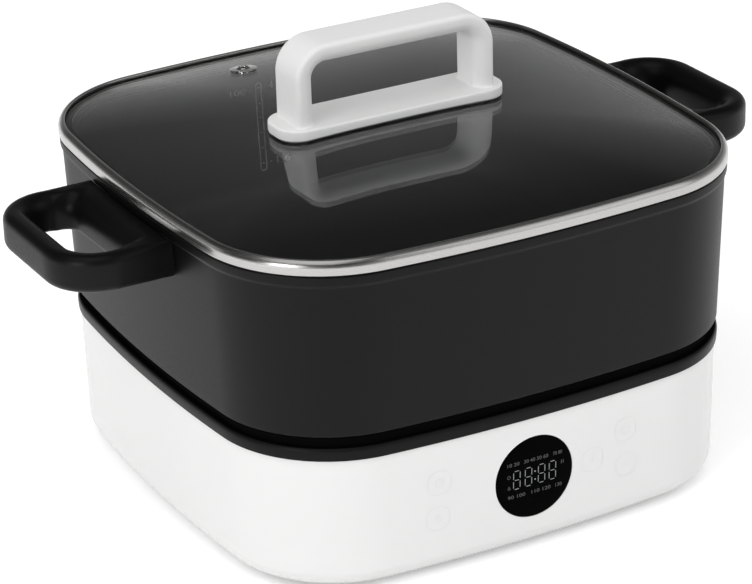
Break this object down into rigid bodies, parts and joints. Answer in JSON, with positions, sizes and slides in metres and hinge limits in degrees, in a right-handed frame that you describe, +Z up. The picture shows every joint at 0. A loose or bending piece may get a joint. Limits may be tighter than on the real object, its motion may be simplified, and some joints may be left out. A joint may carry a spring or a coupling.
{
  "type": "electric hot pot",
  "caption": "Square electric hot pot: heated base with display and touch keys, lift-out cast pot with side handles, domed glass lid with steel rim and bridge handle",
  "frame": {"origin": "on the floor under the middle of the base, so all of the object is above z = 0", "axes": "+Z is up, the display faces -Y, the mains inlet faces +Y and the two side handles lie along X, which is the longest extent"},
  "size_m": [0.3852, 0.2802, 0.225],
  "materials": {
    "white_plastic": "glossy white moulded plastic",
    "black_plastic": "glossy black moulded plastic",
    "dark_plastic": "fine matt moulded plastic",
    "foot_rubber": "matt black rubber",
    "seal_rubber": "dark silicone rubber",
    "screw_steel": "zinc-plated screws",
    "plate_metal": "cast and turned aluminium",
    "element_steel": "heat-darkened steel tube",
    "sheet_steel": "plain galvanised sheet",
    "guide_ceramic": "unglazed white ceramic",
    "cap_metal": "drawn aluminium cap",
    "sensor_epoxy": "black epoxy bead",
    "spring_steel": "stainless spring wire",
    "board_laminate": "green circuit board with solder mask",
    "relay_plastic": "blue relay case",
    "capacitor_plastic": "yellow capacitor case",
    "transformer_core": "varnished core with tape",
    "fuse_glass": "clear glass tube",
    "terminal_plastic": "green terminal housing",
    "display_black": "black display body",
    "pad_rubber": "grey conductive foam",
    "lens_acrylic": "glossy black acrylic window",
    "ribbon_plastic": "grey flat cable",
    "pin_brass": "plated brass blades",
    "mains_silicone": "brown lead jacket",
    "earth_silicone": "green lead jacket",
    "heater_silicone": "white heat-proof lead jacket",
    "pot_coating": "cast aluminium with a dark speckled coating",
    "lid_glass": "clear tempered glass with a grey tint",
    "rim_steel": "satin stainless steel"
  },
  "bodies": {
    "base": {"base_shell": "white_plastic", "seat_ring": "black_plastic", "bottom_cover": "dark_plastic", "feet": "foot_rubber", "cover_screws": "screw_steel", "heating_plate": "plate_metal", "heating_element": "element_steel", "heat_shield": "sheet_steel", "plate_screws": "screw_steel", "shield_screws": "screw_steel", "sensor_guide": "guide_ceramic", "thermal_fuse": "guide_ceramic", "fuse_clip": "sheet_steel", "clip_screws": "screw_steel", "power_board": "board_laminate", "relay": "relay_plastic", "filter_capacitor": "capacitor_plastic", "transformer": "transformer_core", "line_fuse": "fuse_glass", "terminal_block": "terminal_plastic", "board_screws": "screw_steel", "control_board": "board_laminate", "display_module": "display_black", "touch_pads": "pad_rubber", "buzzer": "dark_plastic", "control_screws": "screw_steel", "display_lens": "lens_acrylic", "display_ribbon": "ribbon_plastic", "inlet_socket": "dark_plastic", "inlet_pins": "pin_brass", "inlet_screws": "screw_steel", "mains_leads": "mains_silicone", "earth_lead": "earth_silicone", "heater_leads": "heater_silicone"},
    "plunger": {"sensor_cap": "cap_metal", "thermistor": "sensor_epoxy", "sensor_spring": "spring_steel"},
    "pot": {"pot_body": "pot_coating", "handle_left": "black_plastic", "handle_right": "black_plastic", "handle_screws": "screw_steel"},
    "lid": {"lid_glass": "lid_glass", "lid_rim": "rim_steel", "rim_seal": "seal_rubber", "vent_eyelet": "rim_steel", "lid_handle": "white_plastic", "handle_gasket": "seal_rubber", "lid_screws": "screw_steel", "lid_washers": "seal_rubber"}
  },
  "joints": [
    {"name": "pot_lift", "type": "slide", "parent": "base", "child": "pot", "axis": [0, 0, 1], "range_m": [0, 0.15]},
    {"name": "lid_lift", "type": "slide", "parent": "pot", "child": "lid", "axis": [0, 0, 1], "range_m": [0, 0.12]},
    {"name": "plunger_travel", "type": "slide", "parent": "base", "child": "plunger", "axis": [0, 0, 1], "range_m": [0, 0.003], "stiffness_N_per_m": 400, "springref_m": 0.003, "deforming": ["sensor_spring"]}
  ],
  "couplings": [
    {"joint": "plunger_travel", "follows": "pot_lift", "ratio": 0.02}
  ]
}
